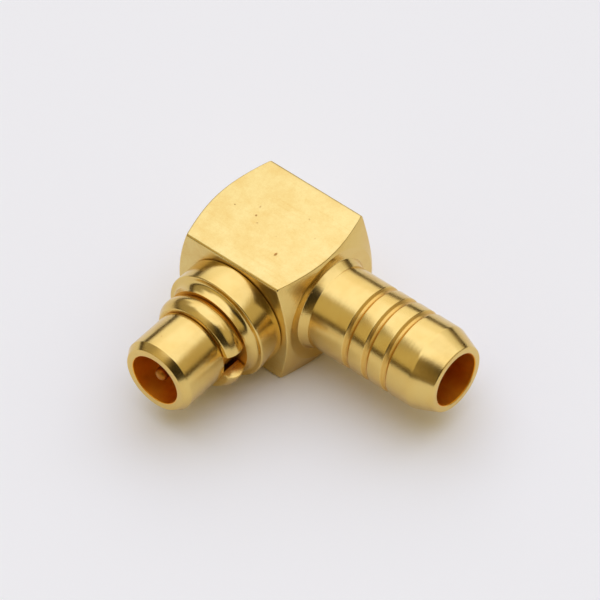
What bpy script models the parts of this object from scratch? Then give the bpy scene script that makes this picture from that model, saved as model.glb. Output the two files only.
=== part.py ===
"""Right angle push-on coaxial plug with a crimp spigot, in metres, +Z up.

Frame: the origin is on the body's flat underside, right below the point where the two arms' axes cross.
The cable spigot runs along +X and the mating plug along -Y. Both axes lie half a bar width above the origin.

How it is made: the body is a length of square bar, turned about its own axis at the cable end to leave the
spigot, and chamfered at both ends. A cross bore takes the turned plug shell from the front and the cap from
the back. The split ring sits loose in the shell's groove, a little off its axis, and turns in it.
"""

import math

import bmesh
import bpy

MM = 0.001

# The square bar and its turned ends
BAR_WIDTH = 3.80 * MM  # across the flats
CABLE_REACH = 1.94 * MM  # from the crossing of the axes to the cable end, at the middle of a flat
BLIND_REACH = 2.14 * MM  # the same, to the blind end
END_SLOPE = math.radians(23.4)  # how far the turned end cone leans back from the end face
END_FLAT_INSET = 0.10 * MM  # the flat of an end face stops this far inside the bar's flats
EDGE_BREAK = 0.06 * MM  # the broken edges along the bar
LATHE_MARGIN = 0.10 * MM  # how far the turned cones are drawn past the bar's corners

# The crimp spigot
CABLE_BORE = 1.69 * MM
SPIGOT_WALL = 0.49 * MM
SPIGOT_LENGTH = 4.70 * MM  # from the flat of the end face to the mouth
BASE_CONE_HEIGHT = 0.22 * MM  # what the foot of the spigot adds to its radius
BASE_CONE_LENGTH = 0.13 * MM
GROOVE_COUNT = 3
FIRST_GROOVE = 1.635 * MM  # from the end face to the first groove's middle
GROOVE_PITCH = 0.715 * MM
GROOVE_WIDTH = 0.25 * MM
GROOVE_DEPTH = 0.085 * MM
GROOVE_WALL = 0.08 * MM  # how much of the width each slanting wall takes
NOSE_LENGTH = 0.74 * MM
NOSE_WALL = 0.23 * MM  # what the nose leaves of the wall at the mouth
NOSE_ROUND = 0.06 * MM  # the rounded outer edge of the mouth
MOUTH_BREAK = 0.03 * MM  # the broken inner edge of both mouths

# The cap, in its recess round the cross bore
CAP_SEAT_WIDTH = 0.25 * MM
RECESS_BREAK = 0.03 * MM  # the broken edge of the recess
CAP_THICKNESS = 0.45 * MM
CAP_EDGE_BREAK = 0.06 * MM
CAP_INSULATOR_THICKNESS = 0.30 * MM

# The plug shell
COLLAR_DIAMETER = 3.49 * MM
COLLAR_LENGTH = 0.87 * MM  # from the body's face to the shoulder
COLLAR_BREAK = 0.05 * MM
NECK_DIAMETER = 2.88 * MM
NECK_LENGTH = 0.31 * MM
NECK_COVE_RISE = 0.18 * MM  # the neck is a cove, and its foot at the shoulder is this much higher
RING_GROOVE_LENGTH = 0.72 * MM
RING_GROOVE_DEPTH = 0.18 * MM
TUBE_DIAMETER = 2.40 * MM
TUBE_LENGTH = 1.66 * MM  # from the ring groove to the mouth
TUBE_CHAMFER_LENGTH = 0.225 * MM
TUBE_CHAMFER_DROP = 0.15 * MM
TUBE_WALL = 0.374 * MM
BEAD_STEP = 0.124 * MM  # what the rear bore adds to the mouth bore's radius
BEAD_STEP_PLACE = 0.18 * MM  # from the shoulder forward to the step that stops the insulator
STEM_WALL = 0.28 * MM
STEM_BREAK = 0.08 * MM

# The split ring
RING_PLAY = 0.09 * MM  # radial, between the ring's bore and the groove's floor
RING_SIDE_PLAY = 0.02 * MM  # at each side
RING_CROWN_WALL = 0.40 * MM
RING_BACK_WALL = 0.25 * MM
RING_FRONT_WALL = 0.24 * MM
RING_CROWN_SETBACK = 0.345 * MM  # from the ring's back to its crown
RING_SLOT = math.radians(36)
RING_ASIDE = 0.043 * MM  # the loose ring rests off the axis, to the slot's side
RING_BELOW = 0.026 * MM  # and hangs this far below it

# The centre contact
PIN_DIAMETER = 0.40 * MM
PIN_RECESS = 0.17 * MM  # the tip lies this far behind the mouth
PIN_TIP_LENGTH = 0.16 * MM
CONTACT_DIAMETER = 0.54 * MM
CONTACT_SHOULDER_DIAMETER = 0.72 * MM
CONTACT_SHOULDER_LENGTH = 1.25 * MM
HEAD_DIAMETER = 1.00 * MM
CONDUCTOR_SLOT = 0.55 * MM  # the fork's slot takes the cable's inner conductor
FORK_OVERHANG = 0.10 * MM  # how far the prongs reach past the conductor

# The front insulator
INSULATOR_RECESS = 1.26 * MM  # its face lies this far behind the mouth

# Clearances
PRESS_GAP = 0.02 * MM  # radial, between pieces that are pressed together
SEAT_GAP = 0.02 * MM  # along the axis, between a piece and its seat
CABLE_CLEARANCE = 0.055 * MM  # between the cable bore and what stands beside it in the cross bore

# Facets
AROUND = 60  # round a turned surface
AROUND_CONTACT = 36  # round the thin centre contact
RING_STEPS = 12  # across the split ring's curved outside
COVE_STEPS = 8  # along the neck's cove
MOUTH_STEPS = 4  # round the edge of the spigot's mouth
PIN_TIP_STEPS = 5
EDGE_STEPS = 3  # round a broken edge of the bar

# Diameters that follow
SPIGOT_DIAMETER = CABLE_BORE + 2 * SPIGOT_WALL
MOUTH_BORE = TUBE_DIAMETER - 2 * TUBE_WALL
REAR_BORE = MOUTH_BORE + 2 * BEAD_STEP
STEM_DIAMETER = REAR_BORE + 2 * STEM_WALL
CROSS_BORE = STEM_DIAMETER + 2 * PRESS_GAP
CAP_RECESS = CROSS_BORE + 2 * CAP_SEAT_WIDTH

# Places along the axes, measured from their crossing
FACE = BAR_WIDTH / 2  # the plug's side, the cap's side, the top and the underside
END_FLAT_RADIUS = FACE - END_FLAT_INSET
END_FLAT_RISE = END_FLAT_INSET * math.tan(END_SLOPE)
CABLE_FACE = CABLE_REACH + END_FLAT_RISE
BLIND_FACE = BLIND_REACH + END_FLAT_RISE
SPIGOT_MOUTH = CABLE_FACE + SPIGOT_LENGTH
SHOULDER = FACE + COLLAR_LENGTH
GROOVE_BACK = SHOULDER + NECK_LENGTH
GROOVE_FRONT = GROOVE_BACK + RING_GROOVE_LENGTH
PLUG_MOUTH = GROOVE_FRONT + TUBE_LENGTH
STEM_END = CABLE_BORE / 2 + CABLE_CLEARANCE
INSULATOR_STEP = SHOULDER + BEAD_STEP_PLACE
INSULATOR_FRONT = PLUG_MOUTH - INSULATOR_RECESS
INSULATOR_BACK = STEM_END + SEAT_GAP
CONTACT_STEP = INSULATOR_BACK + CONTACT_SHOULDER_LENGTH
CAP_SEAT = FACE - CAP_THICKNESS

GOLD = (0.83, 0.60, 0.25)
BRIGHT_GOLD = (0.90, 0.68, 0.30)
SPRING_GOLD = (0.80, 0.56, 0.22)
WHITE = (0.85, 0.85, 0.83)


def clear_scene():
    """Removes whatever the file held before."""
    for obj in list(bpy.data.objects):
        bpy.data.objects.remove(obj)


def material(name, colour, roughness, metallic):
    """A Principled material with one colour."""
    made = bpy.data.materials.new(name)
    made.use_nodes = True
    shader = made.node_tree.nodes["Principled BSDF"]
    shader.inputs["Base Color"].default_value = (*colour, 1)
    shader.inputs["Roughness"].default_value = roughness
    shader.inputs["Metallic"].default_value = metallic
    return made


def add_object(name, mesh_builder):
    """An object in the scene that holds the bmesh's faces, turned outwards."""
    bmesh.ops.recalc_face_normals(mesh_builder, faces=mesh_builder.faces)
    mesh = bpy.data.meshes.new(name)
    mesh_builder.to_mesh(mesh)
    mesh_builder.free()
    obj = bpy.data.objects.new(name, mesh)
    bpy.context.scene.collection.objects.link(obj)
    return obj


def shade(obj):
    """Smooth over the round faces, sharp at the edges between them."""
    obj.data.shade_smooth()
    obj.data.set_sharp_from_angle(angle=math.radians(30))


def turned(name, profile, around=AROUND, closed=False, start=0.0, sweep=2 * math.pi):
    """Spins a profile of (place along Z, radius) points about local Z.

    An open profile starts and ends on the axis. A closed one is the outline of a ring. With a sweep under
    a full turn, its two ends are capped.
    """
    builder = bmesh.new()
    turn_from = (math.cos(start), math.sin(start))
    points = [builder.verts.new((turn_from[0] * r, turn_from[1] * r, z)) for z, r in profile]
    edges = [builder.edges.new(pair) for pair in zip(points, points[1:])]
    if closed:
        edges.append(builder.edges.new((points[-1], points[0])))
    whole = sweep > 2 * math.pi - 1e-9
    seed = points + edges
    if not whole:
        seed.append(builder.faces.new(points))
    steps = round(around * sweep / (2 * math.pi))
    bmesh.ops.spin(
        builder, geom=seed, cent=(0, 0, 0), axis=(0, 0, 1), angle=sweep, steps=steps, use_merge=whole
    )
    bmesh.ops.remove_doubles(builder, verts=builder.verts, dist=1e-8)
    return add_object(name, builder)


def cut(obj, tool, operation):
    """Applies one Boolean to the object and removes the tool."""
    bpy.context.view_layer.update()
    step = obj.modifiers.new(tool.name, "BOOLEAN")
    step.object = tool
    step.operation = operation
    step.solver = "EXACT"
    result = obj.evaluated_get(bpy.context.evaluated_depsgraph_get())
    mesh = bpy.data.meshes.new_from_object(result)
    obj.modifiers.clear()
    obj.data = mesh
    bpy.data.objects.remove(tool)


def round_edge(centre, radius, first, last, steps):
    """Points on a quarter-like arc, as (place, radius) pairs. Angles run from the axis direction outwards."""
    turns = [first + (last - first) * i / steps for i in range(steps + 1)]
    return [(centre[0] + radius * math.cos(t), centre[1] + radius * math.sin(t)) for t in turns]


def axis_empty(name, rotation):
    """An empty at the crossing of the axes, whose +Z runs out along one arm."""
    empty = bpy.data.objects.new(name, None)
    empty.location = (0, 0, FACE)
    empty.rotation_euler = rotation
    empty.empty_display_size = BAR_WIDTH
    bpy.context.scene.collection.objects.link(empty)
    return empty


def square_bar():
    """The bar before turning: square, its long edges broken, longer than the finished body at both ends."""
    length = SPIGOT_MOUTH + BLIND_FACE + BAR_WIDTH
    middle = (SPIGOT_MOUTH - BLIND_FACE) / 2
    builder = bmesh.new()
    bmesh.ops.create_cube(builder, size=1)
    bmesh.ops.scale(builder, verts=builder.verts, vec=(length, BAR_WIDTH, BAR_WIDTH))
    bmesh.ops.translate(builder, verts=builder.verts, vec=(middle, 0, 0))
    long_edges = [e for e in builder.edges if abs(e.verts[0].co.x - e.verts[1].co.x) > length / 2]
    bmesh.ops.bevel(
        builder,
        geom=long_edges,
        offset=EDGE_BREAK,
        offset_type="OFFSET",
        segments=EDGE_STEPS,
        profile=0.5,
        affect="EDGES",
    )
    return add_object("body", builder)


def spigot_grooves():
    """The crimp grooves: narrow, with slanting walls and a flat floor."""
    radius = SPIGOT_DIAMETER / 2
    points = []
    for i in range(GROOVE_COUNT):
        middle = CABLE_FACE + FIRST_GROOVE + i * GROOVE_PITCH
        half = GROOVE_WIDTH / 2
        points += [
            (middle - half, radius),
            (middle - half + GROOVE_WALL, radius - GROOVE_DEPTH),
            (middle + half - GROOVE_WALL, radius - GROOVE_DEPTH),
            (middle + half, radius),
        ]
    return points


def body_outline():
    """What the lathe leaves of the bar, from the blind end to the spigot's mouth."""
    clear_of_bar = FACE * math.sqrt(2) + LATHE_MARGIN
    fall = (clear_of_bar - END_FLAT_RADIUS) * math.tan(END_SLOPE)
    radius = SPIGOT_DIAMETER / 2
    mouth_radius = CABLE_BORE / 2 + NOSE_WALL
    nose_lean = math.atan2(radius - mouth_radius, NOSE_LENGTH)
    edge_middle = (SPIGOT_MOUTH - NOSE_ROUND, mouth_radius - NOSE_ROUND)
    edge = round_edge(edge_middle, NOSE_ROUND, math.pi / 2 - nose_lean, 0, MOUTH_STEPS)
    return [
        (-BLIND_FACE, 0),
        (-BLIND_FACE, END_FLAT_RADIUS),
        (-BLIND_FACE + fall, clear_of_bar),
        (CABLE_FACE - fall, clear_of_bar),
        (CABLE_FACE, END_FLAT_RADIUS),
        (CABLE_FACE, radius + BASE_CONE_HEIGHT),
        (CABLE_FACE + BASE_CONE_LENGTH, radius),
        *spigot_grooves(),
        (SPIGOT_MOUTH - NOSE_LENGTH, radius),
        *edge,
        (SPIGOT_MOUTH, 0),
    ]


def make_body(cable_axis, plug_axis):
    """The bar, turned, then bored along the cable's axis and across."""
    body = square_bar()
    body.location = (0, 0, FACE)

    lathe = turned("turned_form", body_outline())
    lathe.parent = cable_axis
    cut(body, lathe, "INTERSECT")

    past = BAR_WIDTH
    cross_radius = CROSS_BORE / 2
    cap_radius = CAP_RECESS / 2
    cross_bore = turned(
        "cross_bore",
        [
            (-FACE - past, 0),
            (-FACE - past, cap_radius + RECESS_BREAK + past),
            (-FACE + RECESS_BREAK, cap_radius),
            (-CAP_SEAT, cap_radius),
            (-CAP_SEAT, cross_radius),
            (FACE + past, cross_radius),
            (FACE + past, 0),
        ],
    )
    cross_bore.parent = plug_axis
    cut(body, cross_bore, "DIFFERENCE")

    bore_radius = CABLE_BORE / 2
    wide = bore_radius + MOUTH_BREAK + past
    cable_bore = turned(
        "cable_bore",
        [
            (0, 0),
            (0, bore_radius),
            (SPIGOT_MOUTH - MOUTH_BREAK, bore_radius),
            (SPIGOT_MOUTH + past, wide),
            (SPIGOT_MOUTH + past, 0),
        ],
    )
    cable_bore.parent = cable_axis
    cut(body, cable_bore, "DIFFERENCE")
    return body


def shell_outline():
    """The shell's closed section: outside from the stem to the mouth, then back along the bore."""
    stem = STEM_DIAMETER / 2
    collar = COLLAR_DIAMETER / 2
    tube = TUBE_DIAMETER / 2
    floor = tube - RING_GROOVE_DEPTH
    mouth_bore = MOUTH_BORE / 2
    collar_back = FACE + SEAT_GAP
    neck = NECK_DIAMETER / 2
    cove = []
    for i in range(COVE_STEPS + 1):
        turn = math.pi / 2 * i / COVE_STEPS
        place = SHOULDER + NECK_LENGTH * (1 - math.cos(turn))
        radius = neck + NECK_COVE_RISE * (1 - math.sin(turn))
        cove.append((place, radius))
    return [
        (STEM_END, stem - STEM_BREAK),
        (STEM_END + STEM_BREAK, stem),
        (collar_back, stem),
        (collar_back, collar - COLLAR_BREAK),
        (collar_back + COLLAR_BREAK, collar),
        (SHOULDER - COLLAR_BREAK, collar),
        (SHOULDER, collar - COLLAR_BREAK),
        *cove,
        (GROOVE_BACK, floor),
        (GROOVE_FRONT, floor),
        (GROOVE_FRONT, tube),
        (PLUG_MOUTH - TUBE_CHAMFER_LENGTH, tube),
        (PLUG_MOUTH, tube - TUBE_CHAMFER_DROP),
        (PLUG_MOUTH, mouth_bore + MOUTH_BREAK),
        (PLUG_MOUTH - MOUTH_BREAK, mouth_bore),
        (INSULATOR_STEP, mouth_bore),
        (INSULATOR_STEP, REAR_BORE / 2),
        (STEM_END, REAR_BORE / 2),
    ]


def ring_outline():
    """The split ring's closed section.

    Its bore is plain. Its outside falls away from the crown by the square of the distance.
    """
    back = GROOVE_BACK + RING_SIDE_PLAY
    front = GROOVE_FRONT - RING_SIDE_PLAY
    bore = TUBE_DIAMETER / 2 - RING_GROOVE_DEPTH + RING_PLAY
    crown = back + RING_CROWN_SETBACK
    outside = []
    for i in range(RING_STEPS + 1):
        place = back + (front - back) * i / RING_STEPS
        if place < crown:
            edge_wall = RING_BACK_WALL
            away = (crown - place) / (crown - back)
        else:
            edge_wall = RING_FRONT_WALL
            away = (place - crown) / (front - crown)
        wall = RING_CROWN_WALL - (RING_CROWN_WALL - edge_wall) * away**2
        outside.append((place, bore + wall))
    return [(back, bore), *outside, (front, bore)]


def insulator_outline():
    """The bead's closed section.

    Its step stops it in the shell, and the step in its hole stops the contact.
    """
    front_radius = MOUTH_BORE / 2 - PRESS_GAP
    back_radius = REAR_BORE / 2 - PRESS_GAP
    step = INSULATOR_STEP - SEAT_GAP
    thin_hole = CONTACT_DIAMETER / 2 + PRESS_GAP
    wide_hole = CONTACT_SHOULDER_DIAMETER / 2 + PRESS_GAP
    return [
        (INSULATOR_BACK, back_radius),
        (step, back_radius),
        (step, front_radius),
        (INSULATOR_FRONT, front_radius),
        (INSULATOR_FRONT, thin_hole),
        (CONTACT_STEP, thin_hole),
        (CONTACT_STEP, wide_hole),
        (INSULATOR_BACK, wide_hole),
    ]


def make_contact():
    """The pin, its shoulder and the forked head, which the cable's inner conductor lies across."""
    tip = PLUG_MOUTH - PIN_RECESS
    pin = PIN_DIAMETER / 2
    body = CONTACT_DIAMETER / 2
    shoulder = CONTACT_SHOULDER_DIAMETER / 2
    shoulder_front = CONTACT_STEP - SEAT_GAP
    head = HEAD_DIAMETER / 2
    head_back = -(CONDUCTOR_SLOT / 2 + FORK_OVERHANG)
    nose = [
        (tip - PIN_TIP_LENGTH * (1 - math.sin(turn)), pin * math.cos(turn))
        for turn in (math.pi / 2 * i / PIN_TIP_STEPS for i in range(PIN_TIP_STEPS + 1))
    ]
    contact = turned(
        "centre_contact",
        [
            (head_back, 0),
            (head_back, head),
            (STEM_END, head),
            (STEM_END, shoulder),
            (shoulder_front, shoulder),
            (shoulder_front, body),
            (INSULATOR_FRONT, body),
            (INSULATOR_FRONT, pin),
            *nose,
        ],
        around=AROUND_CONTACT,
    )
    builder = bmesh.new()
    bmesh.ops.create_cube(builder, size=1)
    past = HEAD_DIAMETER
    slot_depth = CONDUCTOR_SLOT / 2 - head_back + past
    bmesh.ops.scale(builder, verts=builder.verts, vec=(HEAD_DIAMETER + past, CONDUCTOR_SLOT, slot_depth))
    bmesh.ops.translate(builder, verts=builder.verts, vec=(0, 0, CONDUCTOR_SLOT / 2 - slot_depth / 2))
    cut(contact, add_object("conductor_slot", builder), "DIFFERENCE")
    return contact


def make_cap():
    """The pressed-in cap, flush with the body's rear face, its outer edge broken."""
    radius = CAP_RECESS / 2 - PRESS_GAP
    return turned(
        "rear_cap",
        [
            (-FACE, 0),
            (-FACE, radius - CAP_EDGE_BREAK),
            (-FACE + CAP_EDGE_BREAK, radius),
            (-CAP_SEAT - SEAT_GAP, radius),
            (-CAP_SEAT - SEAT_GAP, 0),
        ],
    )


def make_cap_insulator():
    """The thin disc in front of the cap."""
    back = -CAP_SEAT
    radius = CROSS_BORE / 2 - PRESS_GAP
    front = back + CAP_INSULATOR_THICKNESS
    return turned("cap_insulator", [(back, 0), (back, radius), (front, radius), (front, 0)])


def main():
    clear_scene()
    cable_axis = axis_empty("cable_axis", (0, math.pi / 2, 0))
    plug_axis = axis_empty("plug_axis", (math.pi / 2, 0, 0))

    body = make_body(cable_axis, plug_axis)
    shell = turned("plug_shell", shell_outline(), closed=True)
    ring = turned(
        "snap_ring", ring_outline(), closed=True, start=RING_SLOT / 2, sweep=2 * math.pi - RING_SLOT
    )
    insulator = turned("front_insulator", insulator_outline(), closed=True)
    contact = make_contact()
    cap = make_cap()
    cap_insulator = make_cap_insulator()

    for piece in (shell, ring, insulator, contact, cap, cap_insulator):
        piece.parent = plug_axis
    ring.location = (RING_ASIDE, -RING_BELOW, 0)

    finishes = {
        body: material("satin_gold_plate", GOLD, 0.22, 1.0),
        shell: material("bright_gold_plate", BRIGHT_GOLD, 0.12, 1.0),
        ring: material("spring_gold_plate", SPRING_GOLD, 0.18, 1.0),
        contact: material("contact_gold_plate", BRIGHT_GOLD, 0.15, 1.0),
        cap: material("cap_gold_plate", GOLD, 0.25, 1.0),
        insulator: material("white_insulator", WHITE, 0.45, 0.0),
        cap_insulator: material("white_disc", WHITE, 0.45, 0.0),
    }
    for piece, finish in finishes.items():
        piece.data.materials.clear()
        piece.data.materials.append(finish)
        shade(piece)


main()
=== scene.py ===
# %% [markdown]
# # A right angle coaxial plug in gold plate
# The object is hardly 9 mm long: a length of square brass bar with a crimp spigot turned on one end, and a
# turned plug pressed into its side. The solids give it its sizes and its motion. This lesson gives it its
# looks: finely turned surfaces with broken edges, and gold plate that mirrors a small studio.
#
# The solids are loaded first. They never move. Each new piece takes the place of one of them.

import math

import bmesh
import bpy
import numpy as np
from mathutils import Matrix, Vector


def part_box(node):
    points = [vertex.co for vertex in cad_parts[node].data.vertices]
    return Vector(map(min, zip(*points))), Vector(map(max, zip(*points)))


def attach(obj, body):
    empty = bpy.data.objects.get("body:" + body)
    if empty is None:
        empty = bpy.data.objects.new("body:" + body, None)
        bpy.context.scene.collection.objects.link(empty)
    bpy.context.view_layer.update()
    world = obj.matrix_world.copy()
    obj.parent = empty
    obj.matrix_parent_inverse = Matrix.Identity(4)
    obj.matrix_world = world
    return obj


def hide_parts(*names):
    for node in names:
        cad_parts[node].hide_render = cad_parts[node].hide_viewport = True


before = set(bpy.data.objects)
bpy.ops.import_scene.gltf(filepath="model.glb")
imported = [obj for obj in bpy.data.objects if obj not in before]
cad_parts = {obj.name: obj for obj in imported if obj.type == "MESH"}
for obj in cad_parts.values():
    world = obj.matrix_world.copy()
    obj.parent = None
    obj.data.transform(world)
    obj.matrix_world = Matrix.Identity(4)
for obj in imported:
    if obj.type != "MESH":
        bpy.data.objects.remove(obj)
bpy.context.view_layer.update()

# %% [markdown]
# ## Sizes
# Overall places come from the solids' boxes. The rest are the maker's sizes, in millimetres. Everything is
# measured from where the two arms' axes cross: the cable spigot runs along +X and the plug along -Y.

# %% Places read from the frame
MM = 0.001

body_low, body_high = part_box("body")
shell_low, shell_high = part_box("plug_shell")
ring_low, ring_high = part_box("snap_ring")
contact_low, contact_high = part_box("centre_contact")
bead_low, bead_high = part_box("front_insulator")
cap_low, cap_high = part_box("rear_cap")
disc_low, disc_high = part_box("cap_insulator")

HALF_BAR = (body_high.z - body_low.z) / 2
CROSSING = np.array([0.0, 0.0, body_low.z + HALF_BAR])
SPIGOT_MOUTH = body_high.x
BLIND_FACE = -body_low.x
PLUG_MOUTH = -shell_low.y
STEM_END = -shell_high.y
print(f"bar {2000 * HALF_BAR:.2f} mm across")
print(f"spigot to {1000 * SPIGOT_MOUTH:.2f} mm, plug to {1000 * PLUG_MOUTH:.2f} mm")

# %% The maker's sizes
END_SLOPE = math.radians(23.4)  # how far the turned cone at an end of the bar leans back
END_FLAT_RADIUS = HALF_BAR - 0.10 * MM
BAR_EDGE = 0.11 * MM  # the rounded long edges of the bar
SPIGOT_LENGTH = 4.70 * MM
CABLE_FACE = SPIGOT_MOUTH - SPIGOT_LENGTH
CABLE_BORE = 0.845 * MM  # radii, from here to the stem
SPIGOT = 1.335 * MM
SPIGOT_FOOT = 1.470 * MM
CROSS_BORE = 1.25 * MM
CAP_RECESS = 1.50 * MM
COLLAR = 1.745 * MM
NECK = 1.44 * MM
TUBE = 1.20 * MM
GROOVE_FLOOR = 1.02 * MM
MOUTH_BORE = 0.826 * MM
REAR_BORE = 0.95 * MM
STEM = 1.23 * MM
GAP = 0.02 * MM  # between pieces that are pressed or seated together
print(f"end face of the bar at {1000 * CABLE_FACE:.3f} mm")

# %% [markdown]
# ## Drawing a profile with rounded corners
# A turned part is a profile carried round an axis. Sharp corners never look right in metal, because real
# ones are broken and catch the light. So a profile is written as its corner points, each with its own small
# radius, and one function puts an arc at each corner. The corners may be different for each angle round the
# axis: that is how a square bar, turned at its ends, becomes one surface.

# %% Rounded profiles


def rounded(corners, radii, steps=5):
    """Replaces each inner corner of a line with an arc that touches both of its sides.

    corners has the shape (corners, columns, 2) and radii one radius each. The arc starts at a distance
    radius / tan(half the inner angle) before the corner and ends as far behind it. Its points run by equal
    angles about a centre on the corner's bisector. The result has the shape (points, columns, 2).
    """
    pieces = [corners[:1]]
    for i in range(1, len(corners) - 1):
        if radii[i] == 0:
            pieces.append(corners[i : i + 1])
            continue
        here = corners[i]
        back = corners[i - 1] - here
        ahead = corners[i + 1] - here
        back = back / np.linalg.norm(back, axis=-1, keepdims=True)
        ahead = ahead / np.linalg.norm(ahead, axis=-1, keepdims=True)
        half = np.arccos(np.clip((back * ahead).sum(-1), -1, 1))[:, None] / 2
        bisector = back + ahead
        bisector = bisector / np.linalg.norm(bisector, axis=-1, keepdims=True)
        centre = here + bisector * radii[i] / np.sin(half)
        start = here + back * radii[i] / np.tan(half) - centre
        turn = np.linspace(0, 1, steps + 1)[:, None, None] * (math.pi - 2 * half)
        pieces.append(centre + start * np.cos(turn) - back * radii[i] * np.sin(turn))
    pieces.append(corners[-1:])
    return np.concatenate(pieces)


def same_all_round(points, columns):
    """The same (place, radius) corners for every column."""
    return np.repeat(np.array(points, float)[:, None, :], columns, axis=1)


# %% [markdown]
# ## From a grid of points to a mesh
# A grid has one row for each point of the profile and one column for each angle. Neighbouring points make
# quads. Two small functions place the grid: one round the cable's axis and one round the plug's.

# %% Grids and meshes


def round_cable_axis(profile, angles):
    """Turns (place, radius) into points.

    x is the place, and y and z are the radius times the angle's cosine and sine, from the crossing on.
    """
    place, radius = profile[..., 0], profile[..., 1]
    x, y, z = place + CROSSING[0], radius * np.cos(angles), radius * np.sin(angles) + CROSSING[2]
    return np.stack([x, y, z], axis=-1)


def round_plug_axis(profile, angles):
    """The same about the plug's axis.

    y is minus the place, and x and z are the radius times the angle's cosine and sine, from the crossing on.
    """
    place, radius = profile[..., 0], profile[..., 1]
    x, y, z = radius * np.cos(angles), -place, radius * np.sin(angles) + CROSSING[2]
    return np.stack([x, y, z], axis=-1)


def grid_faces(rows, columns, rows_close, columns_close):
    """Quads between neighbouring grid points, whose indices run along the rows first."""
    index = np.arange(rows * columns).reshape(rows, columns)
    if rows_close:
        index = np.concatenate([index, index[:1]])
    if columns_close:
        index = np.concatenate([index, index[:, :1]], axis=1)
    corners = [index[:-1, :-1], index[:-1, 1:], index[1:, 1:], index[1:, :-1]]
    return np.stack(corners, axis=-1).reshape(-1, 4)


def grid_object(name, grid, rows_close=False, columns_close=True):
    """A closed mesh from a grid.

    Points that fall together, as at a pole, are merged, and open ends are capped.
    """
    rows, columns, _ = grid.shape
    mesh = bpy.data.meshes.new(name)
    faces = grid_faces(rows, columns, rows_close, columns_close)
    mesh.from_pydata(grid.reshape(-1, 3), [], faces)
    builder = bmesh.new()
    builder.from_mesh(mesh)
    bmesh.ops.remove_doubles(builder, verts=builder.verts, dist=1e-8)
    bmesh.ops.holes_fill(builder, edges=builder.edges)
    bmesh.ops.recalc_face_normals(builder, faces=builder.faces)
    builder.to_mesh(mesh)
    builder.free()
    obj = bpy.data.objects.new(name, mesh)
    bpy.context.scene.collection.objects.link(obj)
    return obj


def evaluated_mesh(obj):
    """Puts what the object's modifiers make into its mesh and takes the modifiers off."""
    bpy.context.view_layer.update()
    result = obj.evaluated_get(bpy.context.evaluated_depsgraph_get())
    mesh = bpy.data.meshes.new_from_object(result)
    obj.modifiers.clear()
    obj.data = mesh


def cut(obj, tool):
    """Takes the tool's volume out of the object and removes the tool."""
    step = obj.modifiers.new(tool.name, "BOOLEAN")
    step.object = tool
    step.operation = "DIFFERENCE"
    step.solver = "EXACT"
    evaluated_mesh(obj)
    bpy.data.objects.remove(tool)


def smooth(obj, sharp=math.radians(40)):
    """Smooth shading that keeps flats flat: a corner's normal leans to the largest face round it."""
    obj.data.shade_smooth()
    obj.data.set_sharp_from_angle(angle=sharp)
    weighted = obj.modifiers.new("weighted", "WEIGHTED_NORMAL")
    weighted.mode = "FACE_AREA"
    weighted.weight = 50
    weighted.keep_sharp = True
    evaluated_mesh(obj)


def say(obj):
    """Prints how large a mesh came out."""
    triangles = sum(len(face.vertices) - 2 for face in obj.data.polygons)
    print(f"{obj.name}: {len(obj.data.vertices)} points, {triangles} triangles")


# %% [markdown]
# ## The body
# The real one starts as square bar. The lathe turns its ends to shallow cones, which leaves curved edges on
# the flats as on a nut, and turns the spigot. In a half plane through the cable's axis this is one profile,
# in which only the bar's own radius changes with the angle. The angles crowd at the bar's four edges, where
# that radius changes fastest.

# %% The angles round the bar
FLAT_STEPS = 22
EDGE_STEPS = 8

edge_start = math.atan2(HALF_BAR - BAR_EDGE, HALF_BAR)
over_flat = np.linspace(0, edge_start, FLAT_STEPS, endpoint=False)
over_edge = np.linspace(edge_start, math.pi / 4, EDGE_STEPS)
to_corner = np.concatenate([over_flat, over_edge])
quarter = np.concatenate([to_corner, math.pi / 2 - to_corner[-2:0:-1]])
bar_angles = (quarter + np.arange(4)[:, None] * math.pi / 2).ravel()


def bar_radius(angles):
    """How far a square with rounded corners reaches at each angle.

    On a flat it is the half width over the cosine of the angle to the flat's middle. Near a corner it is the
    far crossing of the ray with the corner's circle.
    """
    from_flat = (angles + math.pi / 4) % (math.pi / 2) - math.pi / 4
    from_corner = math.pi / 4 - np.abs(from_flat)
    on_flat = HALF_BAR / np.cos(from_flat)
    centre = (HALF_BAR - BAR_EDGE) * math.sqrt(2)
    inside = np.maximum(BAR_EDGE**2 - (centre * np.sin(from_corner)) ** 2, 0)
    on_edge = centre * np.cos(from_corner) + np.sqrt(inside)
    return np.where(np.abs(from_flat) > edge_start, on_edge, on_flat)


print(len(bar_angles), "columns round the bar")

# %% The body's profile
GROOVE_COUNT = 3
FIRST_GROOVE = 1.635 * MM
GROOVE_PITCH = 0.715 * MM
GROOVE_WIDTH = 0.25 * MM
GROOVE_WALL = 0.08 * MM
GROOVE_DEPTH = 0.085 * MM
FOOT_LENGTH = 0.26 * MM
NOSE_LENGTH = 0.74 * MM
LIP_RADIUS = 1.057 * MM
LIP_BREAK = 0.03 * MM


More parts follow.
